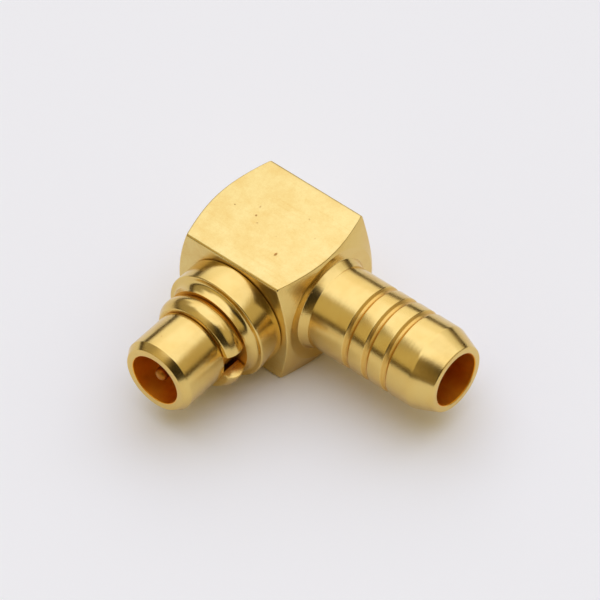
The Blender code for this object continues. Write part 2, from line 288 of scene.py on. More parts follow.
def body_profile(angles):
    """The corners from the blind end's middle out along the bar and the spigot, and back into the bore."""
    bar = bar_radius(angles)
    fall = (bar - END_FLAT_RADIUS) * math.tan(END_SLOPE)
    columns = len(angles)

    def ring(place, radius):
        return np.stack([np.broadcast_to(place, columns), np.broadcast_to(radius, columns)], axis=-1)

    corners = [
        (ring(-BLIND_FACE, 0), 0),
        (ring(-BLIND_FACE, END_FLAT_RADIUS), 0.02 * MM),
        (ring(-BLIND_FACE + fall, bar), 0.06 * MM),
        (ring(CABLE_FACE - fall, bar), 0.06 * MM),
        (ring(CABLE_FACE, END_FLAT_RADIUS), 0.02 * MM),
        (ring(CABLE_FACE, SPIGOT_FOOT), 0.03 * MM),
        (ring(CABLE_FACE + FOOT_LENGTH, SPIGOT), 0.05 * MM),
    ]
    for i in range(GROOVE_COUNT):
        middle = CABLE_FACE + FIRST_GROOVE + i * GROOVE_PITCH
        corners += [
            (ring(middle - GROOVE_WIDTH / 2, SPIGOT), 0.04 * MM),
            (ring(middle - GROOVE_WIDTH / 2 + GROOVE_WALL, SPIGOT - GROOVE_DEPTH), 0.05 * MM),
            (ring(middle + GROOVE_WIDTH / 2 - GROOVE_WALL, SPIGOT - GROOVE_DEPTH), 0.05 * MM),
            (ring(middle + GROOVE_WIDTH / 2, SPIGOT), 0.04 * MM),
        ]
    corners += [
        (ring(SPIGOT_MOUTH - NOSE_LENGTH, SPIGOT), 0.30 * MM),
        (ring(SPIGOT_MOUTH, LIP_RADIUS), 0.06 * MM),
        (ring(SPIGOT_MOUTH, CABLE_BORE + LIP_BREAK), 0.01 * MM),
        (ring(SPIGOT_MOUTH - LIP_BREAK, CABLE_BORE), 0.01 * MM),
        (ring(0, CABLE_BORE), 0),
        (ring(0, 0), 0),
    ]
    return rounded(np.stack([c for c, _ in corners]), [r for _, r in corners])


# %% Make the body
def plug_axis_tool(name, corners, columns=192):
    """A solid of revolution about the plug's axis, to cut with."""
    angles = np.linspace(0, 2 * math.pi, columns, endpoint=False)
    return grid_object(name, round_plug_axis(same_all_round(corners, columns), angles))


CAP_SEAT = HALF_BAR - 0.45 * MM
RIM_BREAK = 0.03 * MM
cross_bore_corners = [
    (-2 * HALF_BAR, 0),
    (-2 * HALF_BAR, CAP_RECESS + RIM_BREAK + HALF_BAR),
    (-HALF_BAR + RIM_BREAK, CAP_RECESS),
    (-CAP_SEAT, CAP_RECESS),
    (-CAP_SEAT, CROSS_BORE),
    (2 * HALF_BAR, CROSS_BORE),
    (2 * HALF_BAR, 0),
]
body = grid_object("body_turned", round_cable_axis(body_profile(bar_angles), bar_angles))
cut(body, plug_axis_tool("cross_bore", cross_bore_corners))
smooth(body)
say(body)

# %% [markdown]
# ## The plug shell
# One turned piece: the stem in the body, the collar, the neck, the groove for the split ring and the front
# tube. It is the same at every angle, so its profile is a closed line of corners with their radii.

# %% Make the shell
ROUND = 240
round_angles = np.linspace(0, 2 * math.pi, ROUND, endpoint=False)

COVE_LENGTH = 0.31 * MM  # the neck is hollowed as a quarter of an ellipse
COVE_HEIGHT = 0.18 * MM
COLLAR_BACK = HALF_BAR + GAP
SHOULDER = HALF_BAR + 0.87 * MM
RING_GROOVE_BACK = SHOULDER + COVE_LENGTH
RING_GROOVE_FRONT = RING_GROOVE_BACK + 0.72 * MM
BEAD_STEP = SHOULDER + 0.18 * MM
STEM_BREAK = 0.08 * MM
TUBE_CHAMFER_LENGTH = 0.225 * MM
TUBE_CHAMFER_DROP = 0.15 * MM
cove = [
    ((SHOULDER + COVE_LENGTH * (1 - math.cos(t)), NECK + COVE_HEIGHT * (1 - math.sin(t))), 0)
    for t in np.linspace(0, math.pi / 2, 14)
]

shell_corners = [
    ((STEM_END, REAR_BORE), 0),
    ((STEM_END, STEM - STEM_BREAK), 0.01 * MM),
    ((STEM_END + STEM_BREAK, STEM), 0.01 * MM),
    ((COLLAR_BACK, STEM), 0.01 * MM),
    ((COLLAR_BACK, COLLAR), 0.04 * MM),
    ((SHOULDER, COLLAR), 0.045 * MM),
    *cove,
    ((RING_GROOVE_BACK, GROOVE_FLOOR), 0.02 * MM),
    ((RING_GROOVE_FRONT, GROOVE_FLOOR), 0.02 * MM),
    ((RING_GROOVE_FRONT, TUBE), 0.02 * MM),
    ((PLUG_MOUTH - TUBE_CHAMFER_LENGTH, TUBE), 0.04 * MM),
    ((PLUG_MOUTH, TUBE - TUBE_CHAMFER_DROP), 0.03 * MM),
    ((PLUG_MOUTH, MOUTH_BORE), 0.03 * MM),
    ((BEAD_STEP, MOUTH_BORE), 0),
    ((BEAD_STEP, REAR_BORE), 0),
]


def closed_turning(name, corners, angles=round_angles):
    """A ring-like turned piece from the corners of its closed section."""
    points = same_all_round([point for point, _ in corners], len(angles))
    radii = [radius for _, radius in corners]
    return grid_object(name, round_plug_axis(rounded(points, radii), angles), rows_close=True)


shell = closed_turning("plug_shell_turned", shell_corners)
smooth(shell)
say(shell)

# %% [markdown]
# ## The split ring
# The spring ring is turned with a crowned outside, and then slit. Its section is carried most of the way
# round. At both ends of the slit the section shrinks by a few hundredths of a millimetre along a quarter
# circle, which rounds all the edges of the end faces at once.

# %% Make the split ring
RING_PLAY = 0.09 * MM
RING_BORE = GROOVE_FLOOR + RING_PLAY
RING_CROWN = 0.40 * MM  # the wall at the crown, and at the two edges
RING_BACK_EDGE = 0.25 * MM
RING_FRONT_EDGE = 0.24 * MM
CROWN_SETBACK = 0.345 * MM
RING_EDGE = 0.07 * MM
RING_SLOT = math.radians(36)
SLOT_ROUND = 0.028 * MM
ring_back, ring_front = -ring_high.y, -ring_low.y
ring_reach = (ring_high.z - ring_low.z) / 2
ring_aside = np.array([ring_low.x + ring_reach, 0, ring_low.z + ring_reach]) - CROSSING
print(f"the loose ring rests {1000 * np.linalg.norm(ring_aside):.3f} mm off the plug's axis")


def ring_section(steps=20):
    """The ring's closed section, whose wall falls from the crown by the square of the distance to it."""
    fine = np.linspace(ring_back + 2 * RING_EDGE, ring_front - 2 * RING_EDGE, steps)
    place = np.concatenate([[ring_back], fine, [ring_front]])
    crown = ring_back + CROWN_SETBACK
    behind = (crown - place) / (crown - ring_back)
    before = (place - crown) / (ring_front - crown)
    wall = np.where(
        place < crown,
        RING_CROWN - (RING_CROWN - RING_BACK_EDGE) * behind**2,
        RING_CROWN - (RING_CROWN - RING_FRONT_EDGE) * before**2,
    )
    outside = np.stack([place, RING_BORE + wall], axis=-1)
    corners = np.concatenate([[[ring_back, RING_BORE]], outside, [[ring_front, RING_BORE]]])
    radii = [0, RING_EDGE] + [0] * steps + [RING_EDGE, 0]
    return rounded(corners[:, None, :], radii)[:, 0, :]


def inset(section, distance):
    """The section moved inwards: each point goes along the mean normal of its two sides."""
    ahead = np.roll(section, -1, axis=0) - section
    behind = section - np.roll(section, 1, axis=0)
    normal = np.stack([-ahead[:, 1], ahead[:, 0]], -1) / np.linalg.norm(ahead, axis=-1)[:, None]
    normal += np.stack([-behind[:, 1], behind[:, 0]], -1) / np.linalg.norm(behind, axis=-1)[:, None]
    normal /= np.linalg.norm(normal, axis=-1)[:, None]
    return section - normal * distance


def split_ring_grid(section, columns=216, end_steps=5):
    """Section rows against angles, with the quarter circle of insets at both ends of the slit."""
    turn = np.linspace(0, math.pi / 2, end_steps, endpoint=False)
    depth = SLOT_ROUND * (1 - np.sin(turn))
    middle_radius = RING_BORE + RING_CROWN / 2
    ends = RING_SLOT / 2 + SLOT_ROUND * (1 - np.cos(turn)) / middle_radius
    first, last = RING_SLOT / 2 + SLOT_ROUND / middle_radius, 2 * math.pi
    main = np.linspace(first, last - first, columns)
    angles = np.concatenate([ends, main, 2 * math.pi - ends[::-1]])
    insets = np.concatenate([depth, np.zeros(columns), depth[::-1]])
    rings = np.stack([inset(section, d) for d in insets], axis=1)
    return round_plug_axis(rings, angles) + ring_aside


ring_grid = split_ring_grid(ring_section())
ring = grid_object("split_ring_turned", ring_grid, rows_close=True, columns_close=False)
smooth(ring)
say(ring)

# %% [markdown]
# ## What lies inside
# The centre contact ends in the pin in the plug's mouth, and in the fork that takes the cable's inner
# conductor, which shows down the cable bore. The white bead holds it. A thin disc and a pressed-in cap
# close the rear.

# %% Make the inner pieces
PIN = 0.20 * MM
PIN_ROUND = 0.15 * MM
CONTACT = 0.27 * MM
CONTACT_SHOULDER = 0.36 * MM
CONTACT_SHOULDER_LENGTH = 1.25 * MM
HEAD = 0.50 * MM
CONDUCTOR_SLOT = 0.55 * MM
contact_tip, contact_back = -contact_low.y, -contact_high.y
bead_front, bead_back = -bead_low.y, -bead_high.y
contact_step = bead_back + CONTACT_SHOULDER_LENGTH - GAP
disc_back, disc_front = -disc_high.y, -disc_low.y
cap_back, cap_front = -cap_high.y, -cap_low.y


def turning(name, corners, angles=round_angles):
    """A turned piece whose profile starts and ends on the axis."""
    points = same_all_round([point for point, _ in corners], len(angles))
    return grid_object(name, round_plug_axis(rounded(points, [r for _, r in corners]), angles))


contact = turning(
    "centre_contact_turned",
    [
        ((contact_back, 0), 0),
        ((contact_back, HEAD), 0.03 * MM),
        ((STEM_END, HEAD), 0.02 * MM),
        ((STEM_END, CONTACT_SHOULDER), 0.01 * MM),
        ((contact_step, CONTACT_SHOULDER), 0.02 * MM),
        ((contact_step, CONTACT), 0.01 * MM),
        ((bead_front, CONTACT), 0.02 * MM),
        ((bead_front, PIN), 0.01 * MM),
        ((contact_tip, PIN), PIN_ROUND),
        ((contact_tip, 0), 0),
    ],
)

# The fork's slot is cut by a box that reaches from behind the contact to the slot's floor.
slot_depth = CONDUCTOR_SLOT / 2 - contact_back
slot = bpy.data.objects.new("conductor_slot", bpy.data.meshes.new("conductor_slot"))
bpy.context.scene.collection.objects.link(slot)
builder = bmesh.new()
bmesh.ops.create_cube(builder, size=1)
bmesh.ops.scale(builder, verts=builder.verts, vec=(4 * HEAD, 2 * slot_depth, CONDUCTOR_SLOT))
bmesh.ops.translate(builder, verts=builder.verts, vec=(0, slot_depth - CONDUCTOR_SLOT / 2, CROSSING[2]))
builder.to_mesh(slot.data)
builder.free()
cut(contact, slot)

bead = closed_turning(
    "front_bead_turned",
    [
        ((bead_back, CONTACT_SHOULDER + GAP), 0),
        ((bead_back, REAR_BORE - GAP), 0.02 * MM),
        ((BEAD_STEP - GAP, REAR_BORE - GAP), 0.01 * MM),
        ((BEAD_STEP - GAP, MOUTH_BORE - GAP), 0.01 * MM),
        ((bead_front, MOUTH_BORE - GAP), 0.03 * MM),
        ((bead_front, CONTACT + GAP), 0.02 * MM),
        ((contact_step + GAP, CONTACT + GAP), 0),
        ((contact_step + GAP, CONTACT_SHOULDER + GAP), 0),
    ],
)
cap = turning(
    "rear_cap_turned",
    [
        ((cap_back, 0), 0),
        ((cap_back, CAP_RECESS - GAP), 0.05 * MM),
        ((cap_front, CAP_RECESS - GAP), 0.01 * MM),
        ((cap_front, 0), 0),
    ],
)
disc = turning(
    "cap_disc_turned",
    [
        ((disc_back, 0), 0),
        ((disc_back, CROSS_BORE - GAP), 0.02 * MM),
        ((disc_front, CROSS_BORE - GAP), 0.02 * MM),
        ((disc_front, 0), 0),
    ],
)
for piece in (contact, bead, cap, disc):
    smooth(piece)
    say(piece)

# %% [markdown]
# ## Building materials
# Every finish here is gold plate or white plastic, in several states. The small effects that they share are
# node groups, so each is drawn once. A few helpers keep the node code short: the first adds a node with its
# inputs, and the others use it for sums, mixes and groups.

# %% Helpers for nodes


def add(tree, kind, inputs=None, **settings):
    """Adds a node. A value in inputs goes into that socket, and a socket is linked to it."""
    node = tree.nodes.new(kind)
    for name, value in settings.items():
        setattr(node, name, value)
    for socket, value in (inputs or {}).items():
        if isinstance(value, bpy.types.NodeSocket):
            tree.links.new(value, node.inputs[socket])
        else:
            node.inputs[socket].default_value = value
    return node


def maths(tree, operation, *values):
    """A Math node's result."""
    return add(tree, "ShaderNodeMath", dict(enumerate(values)), operation=operation).outputs[0]


def vector_maths(tree, operation, *values, output=0):
    """A Vector Math node's result: output 0 is a vector, and 1 a number."""
    node = add(tree, "ShaderNodeVectorMath", dict(enumerate(values)), operation=operation)
    return node.outputs[output]


def scaled(tree, vector, factor):
    """A vector times a number."""
    return add(tree, "ShaderNodeVectorMath", {0: vector, "Scale": factor}, operation="SCALE").outputs[0]


def noise(tree, inputs, **settings):
    """A Noise Texture's value."""
    return add(tree, "ShaderNodeTexNoise", inputs, **settings).outputs["Fac"]


def between(tree, value, low, high, to_low=0.0, to_high=1.0):
    """Moves value smoothly from to_low to to_high as it goes from low to high."""
    inputs = {"Value": value, "From Min": low, "From Max": high, "To Min": to_low, "To Max": to_high}
    return add(tree, "ShaderNodeMapRange", inputs, interpolation_type="SMOOTHSTEP").outputs["Result"]


def mix_colour(tree, factor, low, high):
    """A mix of two colours."""
    return add(tree, "ShaderNodeMix", {0: factor, 6: low, 7: high}, data_type="RGBA").outputs[2]


def mix_value(tree, factor, low, high):
    """A mix of two numbers."""
    return add(tree, "ShaderNodeMix", {0: factor, 2: low, 3: high}, data_type="FLOAT").outputs[0]


def new_group(name, inputs, outputs):
    """An empty node group with the named sockets, and its input and output nodes."""
    group = bpy.data.node_groups.new(name, "ShaderNodeTree")
    for socket, kind, default in inputs:
        made = group.interface.new_socket(socket, in_out="INPUT", socket_type=kind)
        if default is not None:
            made.default_value = default
    for socket, kind in outputs:
        group.interface.new_socket(socket, in_out="OUTPUT", socket_type=kind)
    return group, group.nodes.new("NodeGroupInput"), group.nodes.new("NodeGroupOutput")


def use_group(tree, group, inputs):
    """Places a node group in a tree and returns its outputs."""
    return add(tree, "ShaderNodeGroup", inputs, node_tree=group).outputs


def either(tree, *masks):
    """The largest of several masks."""
    result = masks[0]
    for mask in masks[1:]:
        result = maths(tree, "MAXIMUM", result, mask)
    return result


FLOAT, VECTOR = "NodeSocketFloat", "NodeSocketVector"

# %% [markdown]
# ## Lathe marks
# A turning tool leaves fine lines round the part: they follow the place along the axis on a cylinder, and
# the radius on a flat face. The sum of the two works for both, and for cones as well. A noise along that
# one number draws lines of uneven depth, and a second, slower noise lets them fade here and there.

# %% The lathe marks group
group, given, result = new_group(
    "lathe_marks",
    [("Position", VECTOR, None), ("Axis", VECTOR, None), ("Lines per mm", FLOAT, 40.0)],
    [("Height", FLOAT), ("Along", FLOAT), ("Radius", FLOAT)],
)
along = vector_maths(group, "DOT_PRODUCT", given.outputs["Position"], given.outputs["Axis"], output=1)
on_axis = scaled(group, given.outputs["Axis"], along)
radius = vector_maths(group, "DISTANCE", given.outputs["Position"], on_axis, output=1)
across_lines = maths(group, "MULTIPLY", maths(group, "ADD", along, radius), given.outputs["Lines per mm"])
lines = noise(group, {"W": across_lines, "Scale": 1.0, "Detail": 3.0}, noise_dimensions="1D")
fading = noise(group, {"Vector": given.outputs["Position"], "Scale": 1.5})
faded = maths(group, "MULTIPLY", lines, between(group, fading, 0.3, 0.7, 0.4, 1.0))
group.links.new(faded, result.inputs["Height"])
group.links.new(along, result.inputs["Along"])
group.links.new(radius, result.inputs["Radius"])
lathe_marks = group
print("group:", lathe_marks.name)

# %% [markdown]
# ## Mottling and specks
# Plating is never quite even. Slow blotches change its tone and its gloss, a finer grain makes a satin face
# sparkle a little, and a few specks are pits that the polish missed. The specks come from cells: only the
# cells whose own random number is low enough hold one.

# %% The mottling group
group, given, result = new_group(
    "mottling",
    [("Position", VECTOR, None), ("Blotches per mm", FLOAT, 1.0)],
    [("Blotches", FLOAT), ("Grain", FLOAT)],
)
position, blotches_per_mm = given.outputs["Position"], given.outputs["Blotches per mm"]
blotch_noise = noise(group, {"Vector": position, "Scale": blotches_per_mm, "Detail": 5.0, "Roughness": 0.6})
grain_noise = noise(group, {"Vector": position, "Scale": 22.0, "Detail": 3.0})
group.links.new(between(group, blotch_noise, 0.35, 0.68), result.inputs["Blotches"])
group.links.new(grain_noise, result.inputs["Grain"])
mottling = group

# %% The specks group
group, given, result = new_group(
    "specks",
    [("Position", VECTOR, None), ("Cells per mm", FLOAT, 3.0), ("Size", FLOAT, 0.1), ("Share", FLOAT, 0.2)],
    [("Mask", FLOAT)],
)
cell_inputs = {"Vector": given.outputs["Position"], "Scale": given.outputs["Cells per mm"]}
cells = add(group, "ShaderNodeTexVoronoi", cell_inputs)
own_number = add(group, "ShaderNodeSeparateColor", {0: cells.outputs["Color"]}).outputs["Red"]
chosen = maths(group, "LESS_THAN", own_number, given.outputs["Share"])
inner = maths(group, "MULTIPLY", given.outputs["Size"], 0.4)
outside = between(group, cells.outputs["Distance"], inner, given.outputs["Size"])
spot = maths(group, "SUBTRACT", 1.0, outside)
group.links.new(maths(group, "MULTIPLY", chosen, spot), result.inputs["Mask"])
specks = group
print("groups:", mottling.name, specks.name)

# %% [markdown]
# ## Single pits
# A few pits on the top face are large enough to have places of their own. Each is a small uneven hollow
# round a point: the distance to it is measured in half widths of the pit, and a little noise bends its
# outline.

# %% The pit group
group, given, result = new_group(
    "pit",
    [("Position", VECTOR, None), ("Centre", VECTOR, None), ("Half widths per mm", VECTOR, None)],
    [("Mask", FLOAT)],
)
BEND = (0.06, 0.06, 0.0)
noise_inputs = {"Vector": given.outputs["Position"], "Scale": 14.0}
random_place = add(group, "ShaderNodeTexNoise", noise_inputs).outputs["Color"]
centred = vector_maths(group, "SUBTRACT", random_place, (0.5, 0.5, 0.5))
bend = vector_maths(group, "MULTIPLY", centred, BEND)
bent = vector_maths(group, "ADD", given.outputs["Position"], bend)
away = vector_maths(group, "SUBTRACT", bent, given.outputs["Centre"])
away = vector_maths(group, "MULTIPLY", away, given.outputs["Half widths per mm"])
away = vector_maths(group, "LENGTH", away, output=1)
group.links.new(between(group, away, 0.35, 1.0, 1.0, 0.0), result.inputs["Mask"])
pit = group
print("group:", pit.name)

# %% [markdown]
# ## The gold
# Gold plate over nickel and brass: its colour is pale where it mirrors a bright light and deep orange where
# it mirrors itself, which the metal shader does of its own accord; in bores and grooves that orange is also
# painted into the colour. Its tone and its gloss drift with the blotches, the lathe lines give it a faint
# relief, and a few specks show a stain.

# %% Gold plate
GOLD = (0.76, 0.545, 0.175, 1)
DEEP_GOLD = (0.72, 0.46, 0.115, 1)
STAIN = (0.42, 0.16, 0.03, 1)
# painted bounce light: the bright orange that gold mirroring gold gives deep in a bore, put into the colour
BORE_PAINTED_BOUNCE = (0.94, 0.42, 0.025, 1)
BORE_PAINTED_BOUNCE_DEEP = (0.84, 0.31, 0.014, 1)
BORE_ROUGHNESS = 0.46
# painted shade and bounce light in grooves: an orange darker than the plate
GROOVE_PAINTED_SHADE_AND_BOUNCE = (0.74, 0.40, 0.06, 1)
# painted shade: the contact sits deep in the bores, so its colour is darkened to a dull orange
PIN_PAINTED_SHADE = (0.41, 0.145, 0.015, 1)
PER_METRE = 1000.0
MICRON = 1e-6
LINES_PER_MM = 10.0
BLOTCHES_PER_MM = 1.2
LINE_HEIGHT = 1.3 * MICRON
CABLE_AXIS = (1, 0, 0)
PLUG_AXIS = (0, -1, 0)


def position_in_mm(tree):
    """The point's place in millimetres from the crossing of the axes."""
    coordinates = add(tree, "ShaderNodeTexCoord")
    from_crossing = vector_maths(tree, "SUBTRACT", coordinates.outputs["Object"], tuple(CROSSING))
    return scaled(tree, from_crossing, PER_METRE)


def empty_material(name):
    """A material with a Principled shader alone, and the tree to build in."""
    made = bpy.data.materials.new(name)
    made.use_nodes = True
    return made, made.node_tree, made.node_tree.nodes["Principled BSDF"]


def turned_gold(name, axis, roughness, tone, deep=None, colour=GOLD):
    """Gold plate on a turned piece: lathe marks about its axis, slow blotches and a few specks.

    tone is how far the blotches go towards the deeper gold. deep gives the masks of a bore and of a groove,
    where the plate is rough and its colour is painted: bounce light in a bore, shade and bounce in a groove.
    """
    made, tree, shader = empty_material(name)
    position = position_in_mm(tree)
    marks = use_group(tree, lathe_marks, {"Position": position, "Axis": axis, "Lines per mm": LINES_PER_MM})
    patches = use_group(tree, mottling, {"Position": position, "Blotches per mm": BLOTCHES_PER_MM})
    speck_inputs = {"Position": position, "Cells per mm": 4.0, "Size": 0.09, "Share": 0.1}
    spots = use_group(tree, specks, speck_inputs)
    plate = mix_colour(tree, maths(tree, "MULTIPLY", patches["Blotches"], tone), colour, DEEP_GOLD)
    plate = mix_colour(tree, maths(tree, "MULTIPLY", spots["Mask"], 0.7), plate, STAIN)
    gloss = maths(tree, "MULTIPLY_ADD", patches["Blotches"], 0.06, roughness)
    gloss = maths(tree, "MULTIPLY_ADD", spots["Mask"], 0.3, gloss)
    gloss = maths(tree, "MULTIPLY_ADD", patches["Grain"], 0.05, gloss)
    if deep:
        bore, groove = deep(tree, marks, position)
        # the bore's colour is painted bounce light, drifting between two orange tones with the blotches
        shade = mix_colour(tree, patches["Blotches"], BORE_PAINTED_BOUNCE, BORE_PAINTED_BOUNCE_DEEP)
        plate = mix_colour(tree, bore, mix_colour(tree, groove, plate, GROOVE_PAINTED_SHADE_AND_BOUNCE), shade)
        gloss = mix_value(tree, either(tree, bore, groove), gloss, BORE_ROUGHNESS)
    tree.links.new(plate, shader.inputs["Base Color"])
    tree.links.new(gloss, shader.inputs["Roughness"])
    waves = maths(tree, "MULTIPLY_ADD", patches["Grain"], 0.6, marks["Height"])
    waves = maths(tree, "MULTIPLY_ADD", patches["Blotches"], 1.2, waves)
    bump = add(tree, "ShaderNodeBump", {"Height": waves, "Distance": LINE_HEIGHT, "Strength": 1.0})
    tree.links.new(bump.outputs["Normal"], shader.inputs["Normal"])
    shader.inputs["Metallic"].default_value = 1.0
    return made


# %% [markdown]
# ## Deep places
# Inside a bore and in a groove the light bounces from gold to gold, and the polish never reached. There the
# plate is rough, and an orange painted into its colour stands in for the bounced light; in the grooves it is
# painted shade as well. Each piece has a function that finds these places by their distance from the axis
# and their place along it. The pairs of numbers say where such a mask begins and ends, in millimetres.

# %% Where the bounced light and shade are painted
MOUTH_BORE_EDGE = (0.835, 0.855)
RING_BORE_EDGE = (1.14, 1.20)
RING_SIDE_EDGE = (1.14, 1.30)
GROOVE_FROM = 1000 * RING_GROOVE_BACK
GROOVE_TO = 1000 * RING_GROOVE_FRONT
GROOVE_FADE = 0.008


def inside_shell(tree, marks, position):
    """The mouth's bore, and the floor and walls of the ring's groove."""
    along, radius = marks["Along"], marks["Radius"]
    bore = between(tree, radius, *MOUTH_BORE_EDGE, 1.0, 0.0)
    behind = between(tree, along, GROOVE_FROM - GROOVE_FADE, GROOVE_FROM)
    before = between(tree, along, GROOVE_TO, GROOVE_TO + GROOVE_FADE, 1.0, 0.0)
    return bore, maths(tree, "MULTIPLY", behind, before)


def inside_ring(tree, marks, position):
    """The ring's bore, and the foot of both side faces."""
    radius = marks["Radius"]
    bore = between(tree, radius, *RING_BORE_EDGE, 1.0, 0.0)
    return bore, between(tree, radius, *RING_SIDE_EDGE, 1.0, 0.0)


shell_gold = turned_gold("shell_gold", PLUG_AXIS, roughness=0.15, tone=0.5, deep=inside_shell)
ring_gold = turned_gold("ring_gold", PLUG_AXIS, roughness=0.17, tone=0.8, deep=inside_ring)
# the contact's colour is painted shade all over
contact_painted_shade_gold = turned_gold("contact_painted_shade_gold", PLUG_AXIS, roughness=0.40, tone=0.3, colour=PIN_PAINTED_SHADE)
cap_gold = turned_gold("cap_gold", PLUG_AXIS, roughness=0.25, tone=0.6)
print("turned golds ready")

# %% [markdown]
# ## The body's plate
# The turned ends of the body are glossy like the shell. Its flats kept the satin face of the drawn bar,
# with small pits that are stained brown and faint scratches. Which is which follows from the place: on a
# flat, the larger of the two distances across the bar is the half width. The spigot's grooves get painted
# shade and bounce light, half as strong as in the plug's groove.

# %% Masks on the body
FLAT_GOLD = (0.79, 0.615, 0.23, 1)
FLAT_STAIN = (0.72, 0.485, 0.14, 1)
PITS = [
    # x, y, half width, half length in mm, strength
    (0.678, -0.856, 0.050, 0.090, 1.0),
    (-0.732, -0.050, 0.045, 0.040, 0.8),
    (-0.865, 0.279, 0.035, 0.050, 0.55),
    (-1.490, -0.110, 0.040, 0.035, 0.7),
    (0.551, 0.794, 0.050, 0.030, 0.55),
    (1.161, 0.324, 0.030, 0.030, 0.4),
    (-0.533, -0.265, 0.045, 0.025, 0.6),
    (0.245, -0.318, 0.030, 0.030, 0.25),
]
CABLE_BORE_EDGE = (0.855, 0.875)
CABLE_BORE_START = (-0.6, -0.5)
CROSS_BORE_EDGE = (1.58, 1.62)  # squared
FLAT_EDGE = (1.875, 1.895)
GROOVES_FADE = 0.05
GROOVES_PAINTED_SHADE = 0.5
GROOVES_FROM = 1000 * (CABLE_FACE + FIRST_GROOVE - GROOVE_WIDTH)
GROOVES_TO = 1000 * (CABLE_FACE + FIRST_GROOVE + (GROOVE_COUNT - 1) * GROOVE_PITCH + GROOVE_WIDTH)


def inside_body(tree, marks, position):
    """The cable's bore with the part of the cross bore that shows at its end, and the spigot's grooves."""
    place = add(tree, "ShaderNodeSeparateXYZ", {0: position}).outputs
    height_squared = maths(tree, "MULTIPLY", place["Z"], place["Z"])
    square = maths(tree, "MULTIPLY_ADD", place["X"], place["X"], height_squared)
    along, radius = marks["Along"], marks["Radius"]
    cable_bore = between(tree, radius, *CABLE_BORE_EDGE, 1.0, 0.0)
    cable_bore = maths(tree, "MULTIPLY", cable_bore, between(tree, along, *CABLE_BORE_START))
    cross_bore = between(tree, square, *CROSS_BORE_EDGE, 1.0, 0.0)
    behind = between(tree, along, GROOVES_FROM, GROOVES_FROM + GROOVES_FADE)
    before = between(tree, along, GROOVES_TO - GROOVES_FADE, GROOVES_TO, 1.0, 0.0)
    # the spigot's grooves get half of the painted shade and bounce light
    below = between(tree, radius, 1000 * SPIGOT - 0.035, 1000 * SPIGOT - 0.006, GROOVES_PAINTED_SHADE, 0.0)
    grooves = maths(tree, "MULTIPLY", maths(tree, "MULTIPLY", behind, before), below)
    return either(tree, cable_bore, cross_bore), grooves


def on_flats(tree, position):
    """1 on the four flats of the bar, 0 elsewhere."""
    place = add(tree, "ShaderNodeSeparateXYZ", {0: position}).outputs
    across = either(tree, maths(tree, "ABSOLUTE", place["Y"]), maths(tree, "ABSOLUTE", place["Z"]))
    return between(tree, across, *FLAT_EDGE)


def all_pits(tree, position):
    """The pits of the top face, which lies half a bar above the crossing."""
    top = 1000 * HALF_BAR
    masks = []
    for x, y, half_width, half_length, strength in PITS:
        inputs = {
            "Position": position,
            "Centre": (x, y, top),
            "Half widths per mm": (1 / half_width, 1 / half_length, 10),
        }
        mask = use_group(tree, pit, inputs)["Mask"]
        masks.append(maths(tree, "MULTIPLY", mask, strength))
    return either(tree, *masks)


print(len(PITS), "pits on the top face")

# %% [markdown]
# The body starts as turned gold. Then its colour, roughness and relief are each mixed with those of the
# satin flats by the same mask, and the pits come last. The flats get large and small blotches, grain and a
# few long scratches, each with its share of the stain.

# %% Gold plate on the body
body_gold = turned_gold("body_gold", CABLE_AXIS, roughness=0.15, tone=0.5, deep=inside_body)
tree = body_gold.node_tree
shader = tree.nodes["Principled BSDF"]
position = position_in_mm(tree)
flat = on_flats(tree, position)
pits = all_pits(tree, position)
patches = use_group(tree, mottling, {"Position": position, "Blotches per mm": 1.1})
streak_inputs = {"Vector": position, "Rotation": (0, 0, 0.6), "Scale": (0.5, 16.0, 16.0)}
streak_place = add(tree, "ShaderNodeMapping", streak_inputs).outputs[0]
streaks = noise(tree, {"Vector": streak_place, "Scale": 1.0, "Detail": 2.0})
streaks = between(tree, streaks, 0.58, 0.75)
fine = use_group(tree, mottling, {"Position": position, "Blotches per mm": 6.0})
grain = between(tree, patches["Grain"], 0.35, 0.7)
stained = maths(tree, "MULTIPLY", patches["Blotches"], 0.45)
for mask in (fine["Blotches"], grain, streaks):
    stained = maths(tree, "MULTIPLY_ADD", mask, 0.25, stained)
satin = mix_colour(tree, stained, FLAT_GOLD, FLAT_STAIN)
turned = shader.inputs["Base Color"].links[0].from_socket
plate = mix_colour(tree, flat, turned, satin)
plate = mix_colour(tree, maths(tree, "MULTIPLY", pits, 0.8), plate, STAIN)
tree.links.new(plate, shader.inputs["Base Color"])
turned = shader.inputs["Roughness"].links[0].from_socket
satin = maths(tree, "MULTIPLY_ADD", patches["Grain"], 0.12, 0.24)
gloss = mix_value(tree, flat, turned, satin)
tree.links.new(maths(tree, "MULTIPLY_ADD", pits, 0.2, gloss), shader.inputs["Roughness"])
bump = shader.inputs["Normal"].links[0].from_node
turned = bump.inputs["Height"].links[0].from_socket
satin = maths(tree, "MULTIPLY_ADD", patches["Grain"], 0.8, maths(tree, "MULTIPLY", streaks, -0.3))
height = maths(tree, "MULTIPLY_ADD", pits, -6.0, mix_value(tree, flat, turned, satin))
tree.links.new(height, bump.inputs["Height"])
print("body gold ready")

# %% [markdown]
# ## White plastic
# The bead and the thin disc are waxy white plastic, turned like the metal, so they carry lathe marks too.

